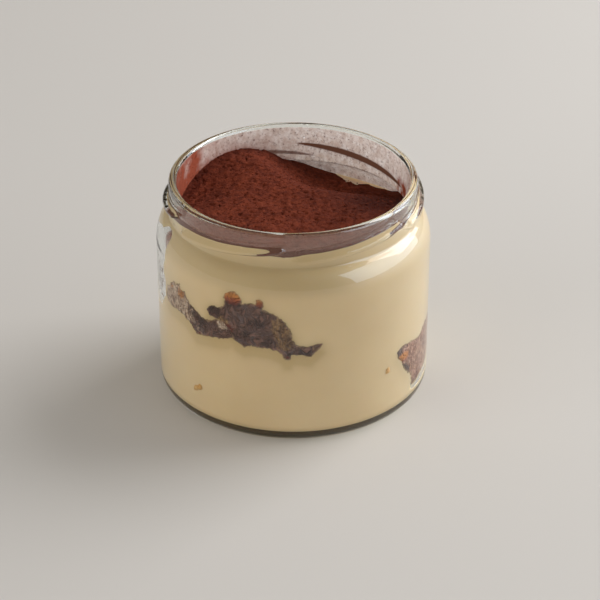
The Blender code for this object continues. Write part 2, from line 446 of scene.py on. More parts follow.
# %% Lugs
LUG_COUNT = 6
LUG_PITCH = 360.0 / LUG_COUNT
LUG_SPAN = 58.0
LUG_FIRST = -61.0
LUG_FOOT_Z = 63.3 * MM
LUG_LEAN = 0.35 * MM
LUG_RISE = 3.4 * MM
LUG_TIP_RISE = 0.5 * MM
LUG_TIP = 0.2
LUG_HALF = 1.65 * MM
LUG_THINNEST = 0.2 * MM
LUG_TAPER = 0.35
LUG_DEPTH = 2.0 * MM
LUG_HEAD = 0.10
LUG_TAIL = 0.05
SLANT_END = 0.06
SLANT_LAST = 1.03
SLANT_LOW_Z = 61.2 * MM
SLANT_LOW_BLEND = 3.6 * MM
SLANT_HIGH_Z = 70.4 * MM
SLANT_HIGH_BLEND = 4.2 * MM


def raise_lugs(places):
    """Pushes the neck's outer skin out into slanted lugs, rounded above and steep below. The rows of
    points are first slanted along with the lugs."""
    angle, radius, height = polar(places)
    on_neck = (radius > NECK_RADIUS - 0.01 * MM) & (height > NECK_FOOT_Z)
    share = np.mod(angle - LUG_FIRST, LUG_PITCH) / LUG_SPAN
    closing = smooth_step(share / LUG_HEAD) * smooth_step((1.0 - share) / LUG_TAIL)
    tip = smooth_step((share - (1.0 - LUG_TIP)) / LUG_TIP)
    middle = LUG_FOOT_Z + LUG_RISE * share + LUG_TIP_RISE * tip
    middle = middle + LUG_LEAN * np.sin(np.radians(angle))
    slant = (middle - LUG_FOOT_Z - LUG_RISE / 2) * smooth_step(share / SLANT_END)
    slant = slant * smooth_step((SLANT_LAST - share) / SLANT_END)
    slant = slant * smooth_step((height - SLANT_LOW_Z) / SLANT_LOW_BLEND)
    slant = slant * smooth_step((SLANT_HIGH_Z - height) / SLANT_HIGH_BLEND)
    height = height + np.where(on_neck, slant, 0.0)
    half = np.maximum(LUG_HALF * (1.0 - LUG_TAPER * share) * closing, LUG_THINNEST)
    across = (height - middle) / half
    upper = np.clip(1.0 - across ** 2, 0.0, 1.0) ** 0.8
    lower = np.clip(1.0 - across ** 4, 0.0, 1.0) ** 0.5
    rise = LUG_DEPTH * np.sqrt(closing) * np.where(across > 0, upper, lower)
    return from_polar(angle, radius + np.where(on_neck, rise, 0.0), height)


# %% [markdown]
# The glass is a Principled shader with full transmission. Real light reaches the cream through the
# wall, but a path tracer finds that light only by chance, so the wall lets lamps and scattered light
# straight through and bends only what the camera sees.

# %% Glass finish and jar
glass = Finish("clear glass")
glass.set(Base_Color=(0.955, 0.98, 0.955, 1.0), Roughness=0.0, IOR=1.5, Transmission_Weight=1.0)
lamp_ray = glass.node("ShaderNodeLightPath", out="Is Shadow Ray")
soft_ray = glass.node("ShaderNodeLightPath", out="Is Diffuse Ray")
clear = glass.node("ShaderNodeBsdfTransparent", None, {"Color": (0.93, 0.95, 0.93, 1.0)})
straight = lamp_ray.math("MAXIMUM", lamp_ray, soft_ray)
both = glass.node("ShaderNodeMixShader", None,
                  {0: straight, 1: Wire(glass, glass.shader.outputs[0]), 2: clear})
glass.tree.links.new(both.socket, glass.output.inputs["Surface"])

bm = spin_profile(jar_profile())
move_points(bm, raise_lugs(points_of(bm)))
jar = make_piece("jar", bm, glass)
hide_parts("glass_jar")

# %% [markdown]
# ## Where the filling meets the glass
# Three things are needed by every part of the filling: the jar's inner wall as a function of height,
# the uneven top of the cream as a function of x and y, and outlines on the wall. An outline is a ring
# of corners, each an angle in degrees and a height in millimetres, as on a label unrolled from the
# jar. The distance to an outline, minus inside and plus outside, tells how far a point of the wall is
# from a sponge piece or from a pocket of air.

# %% Inner wall and top surface
REACH = 0.35 * MM
CREAM_LEVEL = 62.8 * MM


def inner_wall(height, reach=0.0):
    """Radius of the jar's inner wall at each height, moved outwards by reach."""
    rise = np.clip((height - SHOULDER_Z) / INNER_SHOULDER_RISE, 0.0, 1.0)
    shoulder = BODY_INSIDE - INNER_SHOULDER_WIDTH * (1 - np.sqrt(1 - rise * rise))
    drop = np.clip((BASE_THICKNESS + INNER_HEEL_RADIUS - height) / INNER_HEEL_RADIUS, 0.0, 1.0)
    heel = INNER_HEEL_RADIUS * (1 - np.sqrt(1 - drop * drop))
    return np.maximum(shoulder, NECK_INSIDE) - heel + reach


def away_squared(x, y, angle, radius):
    """Square of the distance on plan to a place given by its angle and radius."""
    return (x - radius * sin(radians(angle))) ** 2 + (y + radius * cos(radians(angle))) ** 2


def hill(x, y, angle, radius, reach):
    """A soft hill of height 1 round a place."""
    return np.exp(-away_squared(x, y, angle, radius) / (2 * reach * reach))


def scoop(x, y, angle, radius, reach):
    """A hollow of depth 1 with a flat floor round a place, as a spoon leaves."""
    return np.exp(-((away_squared(x, y, angle, radius) / (reach * reach)) ** 2))


def cream_top(x, y):
    """Height of the cream: a slight slope, the heaps and hollows that the spoon left, and ripples."""
    level = CREAM_LEVEL - 0.012 * x - 0.020 * y
    level = level + 1.5 * MM * hill(x, y, -146, 30 * MM, 11.5 * MM)
    level = level - 4.6 * MM * hill(x, y, -103, 37 * MM, 10.5 * MM)
    level = level - 9.0 * MM * scoop(x, y, 152, 37 * MM, 23 * MM)
    level = level - 4.5 * MM * hill(x, y, 108, 37 * MM, 8 * MM)
    level = level + 1.7 * MM * hill(x, y, 42, 38 * MM, 9 * MM)
    level = level + 1.0 * MM * hill(x, y, -17, 38 * MM, 6 * MM)
    return level + 0.4 * MM * np.sin(x * 210) * np.cos(y * 170)


print("cream %.1f mm high in the middle" % (cream_top(0.0, 0.0) / MM))


# %% Outlines on the wall
def wall_distance(angle, height, outline):
    """Distance in metres along the wall from each point to an outline, less than 0 inside it. A point
    is inside if a level line drawn from it crosses the outline an odd number of times."""
    corners = np.array([(radians(a) * BODY_INSIDE, h * MM) for a, h in outline])
    spots = np.stack([np.radians(angle) * BODY_INSIDE, height], axis=1)
    nearest = np.full(len(spots), 1.0)
    inside = np.zeros(len(spots), bool)
    for start, end in zip(corners, np.roll(corners, -1, axis=0)):
        side = end - start
        along = np.clip(((spots - start) @ side) / (side @ side), 0.0, 1.0)
        away = np.hypot(*(spots - start - along[:, None] * side).T)
        nearest = np.minimum(nearest, away)
        crosses = (start[1] > spots[:, 1]) != (end[1] > spots[:, 1])
        level = side[1] if side[1] else 1.0
        cut = start[0] + (spots[:, 1] - start[1]) * side[0] / level
        inside ^= crosses & (spots[:, 0] < cut)
    return np.where(inside, -nearest, nearest)


FRONT_SPONGE = [
    (-39.3, 42.9), (-36.6, 45.2), (-31.5, 45.3), (-29.6, 47.2), (-30.0, 49.2), (-29.3, 50.9),
    (-27.4, 51.8), (-25.2, 51.9), (-22.9, 51.2), (-21.8, 49.9), (-21.8, 48.4), (-17.6, 49.2),
    (-15.7, 49.0), (-15.4, 50.4), (-13.9, 50.9), (-12.5, 50.2), (-12.3, 49.0), (-12.8, 47.4),
    (-7.9, 46.2), (-4.4, 44.7), (-1.4, 41.2), (-0.2, 37.4), (1.6, 35.3), (6.2, 34.9),
    (9.4, 35.6), (12.2, 36.0), (12.9, 35.2), (8.9, 32.4), (7.4, 31.1), (2.4, 31.8),
    (-0.5, 31.8), (-1.2, 30.3), (-3.2, 30.2), (-5.0, 32.4), (-9.7, 33.8), (-16.6, 34.0),
    (-21.0, 33.3), (-25.1, 35.0), (-27.9, 38.3), (-32.1, 40.7), (-37.7, 41.2)]
LEFT_SPONGE = [
    (-67.0, 40.8), (-67.4, 42.6), (-65.0, 43.0), (-63.4, 44.6), (-60.4, 46.0), (-58.6, 45.5),
    (-55.8, 46.7), (-54.8, 44.9), (-52.3, 45.0), (-48.8, 42.2), (-44.5, 40.7), (-41.7, 39.5),
    (-38.0, 39.0), (-34.5, 40.6), (-30.5, 40.8), (-26.0, 38.4), (-25.6, 35.8), (-29.6, 34.4),
    (-38.0, 33.3), (-44.9, 32.5), (-48.2, 34.4), (-52.5, 36.2), (-58.1, 36.6), (-63.1, 36.2),
    (-68.5, 37.8)]
RIGHT_SPONGE = [
    (49.3, 23.4), (51.3, 24.6), (55.6, 24.9), (62.0, 23.9), (68.2, 22.8), (75.0, 24.8),
    (84.0, 25.5), (92.0, 22.0), (93.0, 14.5), (87.0, 10.8), (79.0, 9.4), (72.0, 8.6),
    (65.7, 7.4), (62.7, 7.8), (60.5, 12.2), (56.2, 15.2), (53.0, 18.8)]
LEFT_POCKET = [
    (-68.5, 57.0), (-69.5, 52.0), (-71.5, 46.0), (-69.0, 42.0), (-69.5, 37.0), (-76.0, 32.0),
    (-88.0, 31.0), (-102.0, 36.0), (-110.0, 45.0), (-110.0, 52.0), (-100.0, 54.5),
    (-84.0, 56.0), (-76.0, 58.0)]
RIGHT_POCKET = [
    (61.5, 9.5), (60.8, 6.2), (66.0, 4.8), (80.0, 5.0), (87.0, 8.0), (88.0, 13.0),
    (82.0, 12.5), (76.0, 10.5), (70.0, 8.2), (65.5, 6.9)]
print("sponge outlines with", [len(o) for o in (FRONT_SPONGE, LEFT_SPONGE, RIGHT_SPONGE)], "corners")


# %% [markdown]
# ## The cream
# Whipped mascarpone clings to the glass, so its skin is the jar's inner wall, carried 0.35 mm into
# the glass: a thin film of air between them would mirror like silver. Only where the real cream has
# pulled away is there a pocket of air, and there the skin steps back from the glass. It starts as a
# spun unit drum, whose rows are then laid along the floor, the heel, the wall and the uneven top.

# %% Cream shape
HEEL_ROWS = 10
WALL_ROWS = 104
TOP_ROWS = 44
POCKET_DEPTH = 1.5 * MM
POCKET_SLOPE = 1.2 * MM
POCKET_RAG = 0.8 * MM
POCKET_RAG_SIZE = 6 * MM
TOP_BLEND = 0.08
NOISE_RADIUS = 40 * MM


def unit_drum():
    """A closed drum of radius 1 and height 1 with rows where the cream needs them."""
    floor_part = [(k / 6, 0.0) for k in range(6)]
    side_part = [(1.0, k / (HEEL_ROWS + WALL_ROWS)) for k in range(HEEL_ROWS + WALL_ROWS + 1)]
    top_part = [(1.0 - k / TOP_ROWS, 1.0) for k in range(1, TOP_ROWS + 1)]
    return spin_profile(floor_part + side_part + top_part)


def shape_cream(places):
    """Lays the drum's rows along the floor, the heel, the wall with its pockets, and the top."""
    angle, share, level = polar(places)
    x_wall = NECK_INSIDE * np.sin(np.radians(angle))
    y_wall = -NECK_INSIDE * np.cos(np.radians(angle))
    rim = cream_top(x_wall, y_wall)
    # The heel's rows follow a quarter circle, and the wall's rows run evenly up to the rim.
    heel_share = HEEL_ROWS / (HEEL_ROWS + WALL_ROWS)
    turn = np.radians(90 * np.clip(level / heel_share, 0, 1) - 90)
    heel_z = BASE_THICKNESS + INNER_HEEL_RADIUS * (1 + np.sin(turn)) - REACH * np.cos(turn)
    wall_z = BASE_THICKNESS + INNER_HEEL_RADIUS
    wall_z = wall_z + (rim - wall_z) * np.clip((level - heel_share) / (1 - heel_share), 0, 1)
    height = np.where(level < heel_share, heel_z, wall_z)
    centre = BODY_INSIDE - INNER_HEEL_RADIUS
    heel_r = centre + (INNER_HEEL_RADIUS + REACH) * np.cos(turn)
    radius = np.where(level < heel_share, heel_r, inner_wall(height, REACH))
    # The skin steps back from the glass in the pockets of air.
    pocket = np.minimum(wall_distance(angle, height, LEFT_POCKET),
                        wall_distance(angle, height, RIGHT_POCKET))
    rag = rough(from_polar(angle, np.full_like(angle, NOISE_RADIUS), height), POCKET_RAG_SIZE)
    pocket = pocket + POCKET_RAG * rag
    radius = radius - (REACH + POCKET_DEPTH) * smooth_step(-pocket / POCKET_SLOPE)
    radius = radius * np.where(level <= 0.0, share * centre / radius, 1.0)
    height = np.where(level <= 0.0, BASE_THICKNESS - REACH, height)
    # The drum's lid is laid on the uneven top, and meets the rim softly.
    on_top = level >= 0.9999
    top_r = inner_wall(rim, REACH) * share
    top_place = from_polar(angle, top_r, height)
    top_z = cream_top(top_place[:, 0], top_place[:, 1])
    blend_in = smooth_step((1.0 - share) / TOP_BLEND)
    top_z = rim + (top_z - rim) * blend_in
    radius = np.where(on_top & (share < 0.9999), top_r, radius)
    height = np.where(on_top, top_z, height)
    return from_polar(angle, radius, height)


# %% [markdown]
# Mascarpone cream is a warm pale yellow, slightly see-through, so light spreads a little way inside
# it. Coffee from the sponge stains the cream yellow-brown close to each piece, most of all below it.
# Painted shade darkens it under the thick glass of the shoulder. Painted light whitens its bare top, and
# a painted reflection of the glass whitens its sides. Noise in the material can't know these places, so
# they are worked out for every point of the mesh and stored on it as attributes.

# %% Stain, painted shade and painted light
STAINS = [(FRONT_SPONGE, 1.0), (LEFT_SPONGE, 0.9), (RIGHT_SPONGE, 0.45)]
STAIN_DROP = 3.2 * MM
STAIN_NEAR = 1.0 * MM
STAIN_BELOW = 1.5 * MM
SHADE_Z = 57.6 * MM
SHADE_HALF = 5.4 * MM
TOP_SKIN_Z = 50 * MM


def stain_of(places):
    """How much coffee has soaked into the cream, from 0 to 1."""
    angle, radius, height = polar(places)
    stain = np.zeros(len(places))
    for outline, strength in STAINS:
        near = wall_distance(angle, height, outline)
        below = wall_distance(angle, height + STAIN_DROP, outline)
        halo = 0.45 * np.exp(-np.maximum(near, 0) / STAIN_NEAR)
        halo = halo + 0.85 * np.exp(-np.maximum(below, 0) / STAIN_BELOW)
        stain = np.maximum(stain, strength * np.clip(halo, 0, 1))
    return stain


def shade_of(places):
    """Painted shade: where the cream lies under the thick glass of the shoulder and gets less light."""
    angle, radius, height = polar(places)
    return bell(height, SHADE_Z, SHADE_HALF, 4) * (1.0 - smooth_step((angle - 12.0) / 30.0))


def painted_light_of(places):
    """Painted light: 1 on the uncovered top, which is painted whiter, and towards the sides, where a
    painted reflection of the glass whitens the cream.
    """
    angle, radius, height = polar(places)
    inner = smooth_step((inner_wall(height, 0.1 * MM) - radius) / (0.3 * MM)) * (height > TOP_SKIN_Z)
    return np.maximum(inner, 0.42 * smooth_step((np.abs(angle) - 30.0) / 45.0))


# %% Cream finish
cream_finish = Finish("mascarpone cream")
coffee = cream_finish.attribute("stain")
blotch = cream_finish.grain(45.0, 3.0, 0.55)
fine = cream_finish.grain(420.0, 3.0, 0.6)
cream_colour = cream_finish.mix(blotch, srgb(215, 185, 140), srgb(230, 203, 160))
cream_colour = cream_finish.mix(coffee * 0.55, cream_colour, srgb(172, 140, 80))
# Painted shade: the cream is darkened under the shoulder.
cream_colour = cream_finish.mix(cream_finish.attribute("shade") * 0.42, cream_colour, srgb(160, 138, 98))
# Painted light on the bare top, and a painted reflection of the glass at the sides.
cream_colour = cream_finish.mix(cream_finish.attribute("fresh") * 0.8, cream_colour, srgb(232, 214, 186))
cream_finish.set(Base_Color=cream_colour, Roughness=0.42, Subsurface_Weight=0.35, Subsurface_Scale=0.004,
                 Normal=cream_finish.bump(blotch * 0.6 + fine * 0.4, 0.00012))
cream_finish.shader.inputs["Subsurface Radius"].default_value = (1.0, 0.7, 0.4)

bm = unit_drum()
move_points(bm, shape_cream(points_of(bm)))
bmesh.ops.recalc_face_normals(bm, faces=bm.faces[:])
cream = make_piece("cream_filling", bm, cream_finish)
cream_places = places_on(cream)
add_attribute(cream, "stain", stain_of(cream_places))
add_attribute(cream, "shade", shade_of(cream_places))
add_attribute(cream, "fresh", painted_light_of(cream_places))
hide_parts("cream")

# %% [markdown]
# ## The soaked sponge
# Each piece shows as a torn, flattened patch against the glass. A patch is a fine grid rolled onto
# the wall. Inside the outline it lies just outside the cream's skin and outside the outline just
# inside it, so that the two surfaces cross along the torn edge, and noise on the distance frays it.
# The grid is then given depth inwards, which makes it a closed lump.

# %% Sponge shapes
SPONGE_GRID = 0.22 * MM
SPONGE_DEPTH = 6.0 * MM
SPONGE_MARGIN = 2.5 * MM
SPONGE_STEP = 0.42 * MM
SPONGE_TUCK = 0.8 * MM


def sponge_patch(outline, seed):
    """A closed lump against the wall that shows through the cream inside an outline. Its square border
    is tucked into the cream."""
    corners = np.array(outline)
    left, right = radians(corners[:, 0].min()), radians(corners[:, 0].max())
    left, right = left * BODY_INSIDE - SPONGE_MARGIN, right * BODY_INSIDE + SPONGE_MARGIN
    foot, head = corners[:, 1].min() * MM - SPONGE_MARGIN, corners[:, 1].max() * MM + SPONGE_MARGIN
    wide, tall = right - left, head - foot
    bm = bmesh.new()
    bmesh.ops.create_grid(bm, x_segments=int(wide / SPONGE_GRID), y_segments=int(tall / SPONGE_GRID),
                          size=0.5)
    flat = points_of(bm)
    angle = np.degrees(((left + right) / 2 + flat[:, 0] * wide) / BODY_INSIDE)
    height = (foot + head) / 2 + flat[:, 1] * tall
    on_wall = from_polar(angle, np.full_like(angle, BODY_INSIDE), height)
    fray = 0.35 * MM * rough(on_wall, 2.8 * MM, 3, seed)
    fray = fray + 0.42 * MM * rough(on_wall, 0.9 * MM, 3, seed + 1)
    inside = fray - wall_distance(angle, height, outline)
    folds = 0.22 * MM * rough(on_wall, 3.0 * MM, 4, seed + 2)
    folds = folds + 0.10 * MM * rough(on_wall, 0.8 * MM, 3, seed + 3)
    step = SPONGE_STEP * np.tanh(inside / (0.5 * MM))
    radius = inner_wall(height, REACH) + step + folds * smooth_step(inside / MM)
    border = np.maximum(np.abs(flat[:, 0]), np.abs(flat[:, 1])) * 2
    radius = radius - SPONGE_TUCK * smooth_step((border - 0.8) / 0.2)
    move_points(bm, from_polar(angle, radius, height))
    raised = bmesh.ops.extrude_face_region(bm, geom=bm.faces[:])["geom"]
    for vert in (item for item in raised if isinstance(item, bmesh.types.BMVert)):
        outwards = Vector((vert.co.x, vert.co.y, 0.0)).normalized()
        vert.co -= outwards * SPONGE_DEPTH
    bmesh.ops.recalc_face_normals(bm, faces=bm.faces[:])
    return bm


# %% [markdown]
# Sponge soaked in coffee isn't one brown. Where it is wettest it is a dark purple brown, drier crumb
# is a fibrous light brown, and its baked crust is orange. So three layers of attributes say how pale,
# how baked and how dark each place is. Each layer is a few soft spots, given by angle, height, reach
# and strength, and the material breaks them up with strands that lean as the crumb was torn. Crust is
# painted lighter at its top and darker below, as painted light from above, and cream has smeared over
# the torn edges.

# %% Where the sponge is pale, baked or dark
PALE = {
    "front": [(-6, 43.0, 2.0, 1.0), (-3.8, 39, 2.2, 1.1), (-3, 35.5, 1.6, 1.0), (10, 34.6, 1.8, 0.8),
              (-32, 42, 1.5, 0.5), (-30, 40, 1.5, 0.9), (3, 33.5, 1.4, 0.3), (-10, 36, 1.5, 0.3)],
    "left": [(-68, 40, 3.5, 1.4), (-62, 42.5, 3.0, 1.5), (-58, 37, 3.0, 1.0), (-54, 42, 2.4, 1.0),
             (-50, 38.5, 2.2, 0.7), (-44, 35, 1.8, 0.3), (-31, 39.4, 1.6, 1.0)],
    "right": [(62, 18, 5.0, 1.3), (72, 15, 6.0, 1.3), (84, 18, 8.0, 1.3)],
}
BAKED = {
    "front": [(-25.8, 50.6, 1.9, 1.9), (-13.8, 49.8, 1.2, 1.5), (-27.4, 38.8, 1.1, 0.9),
              (10.8, 35.0, 1.2, 0.5), (-30.5, 39.6, 1.0, 0.6), (-2.2, 31.2, 0.7, 0.6)],
    "left": [(-54.5, 43.6, 1.6, 0.7), (-43.0, 33.0, 1.0, 0.6), (-62, 44, 1.2, 0.5)],
    "right": [(53.0, 20.6, 1.3, 0.9), (56.5, 20.5, 1.2, 0.8), (67, 9.5, 2.0, 0.6), (74, 17, 1.5, 0.5)],
}
DARK = {
    "front": [(-14.7, 42.6, 1.3, 1.0), (-20.5, 38.0, 1.5, 1.0), (-35.5, 43.6, 1.6, 0.8),
              (-24.5, 47.4, 1.5, 0.8), (-2.2, 31.2, 1.0, 1.0), (-33, 45, 1.8, 0.9),
              (-26.5, 36.8, 1.0, 0.8), (-12.5, 33.8, 1.4, 0.5)],
    "left": [(-41, 38.2, 1.6, 0.9), (-46, 39.4, 1.4, 0.7), (-66, 37, 1.2, 0.5), (-33, 36, 2.0, 0.4)],
    "right": [(57.0, 14.6, 1.6, 1.1), (54.4, 16.8, 1.0, 0.8)],
}


def soft_spots(places, spots):
    """The sum of soft spots on the wall, each with its own reach and strength."""
    angle, radius, height = polar(places)
    total = np.zeros(len(places))
    for spot_angle, spot_height, reach, strength in spots:
        sideways = np.radians(angle - spot_angle) * BODY_INSIDE
        upwards = height - spot_height * MM
        total += strength * np.exp(-(sideways ** 2 + upwards ** 2) / (2 * (reach * MM) ** 2))
    return total


# %% Sponge finish
def sponge_finish(name, lean, crumb_tones):
    """Soaked sponge whose strands lean by an angle in degrees, with its own tones of dry crumb."""
    finish = Finish(name)
    stretched = finish.place((1.0, 1.0, 0.38), (0.0, radians(lean), 0.0))
    strand = finish.grain(720.0, 5.0, 0.62, stretched, 1.2)
    blot = finish.grain(230.0, 5.0, 0.62, None, 0.6)
    fine = finish.grain(1100.0, 3.0, 0.6)
    wave = finish.grain(230.0, 2.0, 0.5, None, 2.0)
    # The fold lines and the swells between them shape the bump and are also painted into the colour:
    # painted crease shade along the folds, painted light on the swells.
    fold = finish.ramp(wave, [(0.42, 0.0), (0.49, 1.0), (0.515, 0.0)])
    swell = finish.ramp(wave, [(0.49, 0.0), (0.62, 1.0)])
    pale = finish.attribute("pale") + (blot - 0.5) * 1.9 + (strand - 0.5) * 0.8
    baked = finish.attribute("baked") + (fine - 0.5) * 1.1
    # Painted crease shade: the fold lines darken the colour.
    dark = finish.attribute("dark") + (blot - 0.5) * 1.2 + fold * 0.65
    soaked = finish.ramp(blot, [(0.38, srgb(58, 32, 25)), (0.46, srgb(92, 58, 46)),
                                (0.56, srgb(98, 77, 74))])
    # Painted light: the swells are painted lighter.
    soaked = finish.mix(swell * 0.65, soaked, srgb(138, 96, 80))
    soaked = finish.mix(finish.ramp(strand, [(0.48, 0.0), (0.66, 0.35)]), soaked, srgb(124, 88, 72))
    crumb = finish.ramp(strand * 0.6 + fine * 0.4, list(zip((0.38, 0.50, 0.60), crumb_tones)))
    # Painted light: the crust is painted lighter towards its top and darker below, as if lit from above.
    crust = finish.ramp(finish.attribute("lit") + (fine - 0.5) * 0.5, [
        (0.15, srgb(104, 38, 22)), (0.50, srgb(160, 76, 30)), (0.85, srgb(196, 122, 48))])
    colour = finish.mix(finish.ramp(pale, [(0.40, 0.0), (0.75, 0.95)]), soaked, crumb)
    colour = finish.mix(finish.ramp(dark, [(0.45, 0.0), (0.95, 0.85)]), colour, srgb(50, 22, 15))
    colour = finish.mix(finish.ramp(baked, [(0.35, 0.0), (0.65, 1.0)]), colour, crust)
    colour = finish.mix(finish.attribute("smeared") * 0.6, colour, srgb(178, 146, 104))
    finish.set(Base_Color=colour, Roughness=0.5,
               Normal=finish.bump(strand * 0.35 + blot * 0.4 + swell * 0.5 - fold * 0.3, 0.0009))
    return finish


# %% The three pieces of sponge
OCHRE_CRUMB = (srgb(78, 46, 24), srgb(122, 86, 50), srgb(158, 120, 76))
BROWN_CRUMB = (srgb(122, 90, 72), srgb(186, 154, 130), srgb(222, 198, 176))
PINK_CRUMB = (srgb(122, 70, 50), srgb(174, 122, 98), srgb(206, 164, 138))
CRUST_MIDDLE = {"front": 49.4, "left": 40.0, "right": 19.0}
CRUST_FADE = 3.5
SMEAR = 0.6 * MM


def add_sponge(node, outline, seed, lean, crumb_tones):
    """Makes one piece with its finish and its attributes, and puts it in place of its solid."""
    side = node.split("_")[1]
    finish = sponge_finish(side + " sponge", lean, crumb_tones)
    piece = make_piece(side + "_sponge", sponge_patch(outline, seed), finish)
    places = places_on(piece)
    for name, layer in (("pale", PALE), ("baked", BAKED), ("dark", DARK)):
        add_attribute(piece, name, soft_spots(places, layer[side]))
    angle, radius, height = polar(places)
    # Painted light: how high on the crust each point lies, so that the crust can be painted lighter at
    # the top.
    add_attribute(piece, "lit", np.clip(0.5 + (height / MM - CRUST_MIDDLE[side]) / CRUST_FADE, 0.0, 1.0))
    add_attribute(piece, "smeared", smooth_step(1.0 + wall_distance(angle, height, outline) / SMEAR))
    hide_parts(node)
    return piece


front_sponge = add_sponge("sponge_front", FRONT_SPONGE, 1.0, -40, OCHRE_CRUMB)
left_sponge = add_sponge("sponge_left", LEFT_SPONGE, 2.0, -50, BROWN_CRUMB)
right_sponge = add_sponge("sponge_right", RIGHT_SPONGE, 3.0, 8, PINK_CRUMB)

# %% [markdown]
# ## The cocoa
# Sifted cocoa lies as it falls: soft lumps with small pits between them, and a ragged edge where it
# has slid away from the spooned-out hollow behind. A square grid is rounded into a disc, which keeps
# its cells equal in size. Its heights come from the cream's surface and layered noise. The layer runs
# out thinly towards the bare patch, as powder does.

# %% Cocoa shape
COCOA_CELLS = 280
COCOA_DEPTH = 1.9 * MM
COCOA_THINNEST = 0.15 * MM
COCOA_EDGE = 3.2 * MM


def cocoa_rim(angle, level):
    """The radius of the cocoa's edge: in the glass all round, short of it behind on the right. Also how
    thinly it runs out, from 0 to 1."""
    bare = 1.5 * MM * bell(angle, 140.0, 24.0, 4) + 4.4 * MM * bell(angle, 148.0, 6.0)
    ring = from_polar(angle, np.full_like(angle, 36 * MM), angle * 0.0)
    rim = inner_wall(level, REACH) - bare * (1.0 + 0.35 * rough(ring, 3 * MM, 3, 8.0))
    return rim, bell(angle, 147.0, 29.0, 4)


def cocoa_relief(places):
    """Wide heaps and small lumps of the powder, which depend on the place on plan only."""
    plan = places * (1, 1, 0)
    return 0.30 * MM * rough(plan, 9 * MM, 3, 4.0), 0.34 * MM * rough(plan, 2.6 * MM, 5, 5.0)


def cocoa_disc():
    """The powder's upper surface: a square grid rounded into a disc and laid on the cream."""
    bm = bmesh.new()
    bmesh.ops.create_grid(bm, x_segments=COCOA_CELLS, y_segments=COCOA_CELLS, size=1.0)
    flat = points_of(bm)
    u, v = flat[:, 0], flat[:, 1]
    x = u * np.sqrt(1 - v * v / 2)
    y = v * np.sqrt(1 - u * u / 2)
    share = np.minimum(np.hypot(x, y), 1.0)
    angle = np.degrees(np.arctan2(x, -y))
    neck_place = from_polar(angle, np.full_like(angle, NECK_INSIDE), angle * 0.0)
    rim, thin = cocoa_rim(angle, cream_top(neck_place[:, 0], neck_place[:, 1]))
    places = from_polar(angle, share * rim, angle * 0.0)
    heaps, lumps = cocoa_relief(places)
    pits = 0.50 * MM * smooth_step((rough(places, 1.5 * MM, 3, 6.0) - 0.22) / 0.5)
    edge = 1.0 - thin * (1.0 - smooth_step((1.0 - share) * rim / COCOA_EDGE))
    depth = COCOA_THINNEST + edge * (COCOA_DEPTH - COCOA_THINNEST + heaps + lumps - pits)
    places[:, 2] = cream_top(places[:, 0], places[:, 1]) + depth
    move_points(bm, places)
    return bm


def draw_edge(bm):
    """Extrudes the open edge and returns its new points."""
    made = bmesh.ops.extrude_edge_only(bm, edges=[edge for edge in bm.edges if edge.is_boundary])["geom"]
    return [item for item in made if isinstance(item, bmesh.types.BMVert)]


UNDERSIDE_SHARE = 0.9


def close_below(bm, drop, floor_z):
    """Draws the open edge straight down, then inwards to one flat face hidden in the cream."""
    bmesh.ops.translate(bm, verts=draw_edge(bm), vec=(0.0, 0.0, -drop))
    for vert in draw_edge(bm):
        vert.co = (vert.co.x * UNDERSIDE_SHARE, vert.co.y * UNDERSIDE_SHARE, floor_z)
    bmesh.ops.holes_fill(bm, edges=[edge for edge in bm.edges if edge.is_boundary], sides=0)
    bmesh.ops.recalc_face_normals(bm, faces=bm.faces[:])


# %% [markdown]
# Cocoa is a dull red-brown powder with next to no shine. Two sizes of grain and a slow drift of tone
# colour it. On the right, where the neck wall shades it, painted shade makes it nearly black, and it is
# painted darker round its edge. Where it is pressed against the glass it looks paler and greyer, so
# these two places are stored on the mesh as well.

# %% Cocoa finish
COCOA_SIDE_DROP = 1.5 * MM
COCOA_UNDERSIDE_Z = 49 * MM


def painted_shade_and_edge_of(places):
    """Painted shade on the right, where the neck wall shades the cocoa, and darker round the edge."""
    x, y = places[:, 0], places[:, 1]
    right = np.exp(-((x - 27 * MM) ** 2 + 1.5 * (y + 1 * MM) ** 2) / (2 * (13 * MM) ** 2))
    return np.clip(0.95 * right + 0.4 * smooth_step((np.hypot(x, y) - 29 * MM) / (7 * MM)), 0.0, 1.0)


def pressed_of(places):
    """1 where the powder is pressed flat against the glass, and so looks paler and greyer."""
    angle, radius, height = polar(places)
    return smooth_step((radius - inner_wall(height, -0.25 * MM)) / (0.3 * MM))


cocoa_finish = Finish("cocoa powder")
clot = cocoa_finish.grain(560.0, 5.0, 0.65)
powder = cocoa_finish.grain(1900.0, 3.0, 0.6)
drift = cocoa_finish.grain(90.0, 3.0, 0.55)
cocoa_colour = cocoa_finish.ramp(clot * 0.5 + powder * 0.3 + drift * 0.2, [
    (0.38, srgb(76, 27, 14)), (0.48, srgb(104, 43, 25)), (0.62, srgb(134, 62, 39))])
# Painted shade: nearly black on the right, in the neck wall's shade, and darker round the edge.
cocoa_colour = cocoa_finish.mix(cocoa_finish.attribute("damp") * 0.9, cocoa_colour, srgb(56, 18, 10))
cocoa_colour = cocoa_finish.mix(cocoa_finish.attribute("pressed") * 0.8, cocoa_colour, srgb(118, 86, 76))
cocoa_finish.set(Base_Color=cocoa_colour, Roughness=0.95,
                 Normal=cocoa_finish.bump(clot * 0.5 + powder * 0.5, 0.00045))
cocoa_finish.shader.inputs["Specular IOR Level"].default_value = 0.12

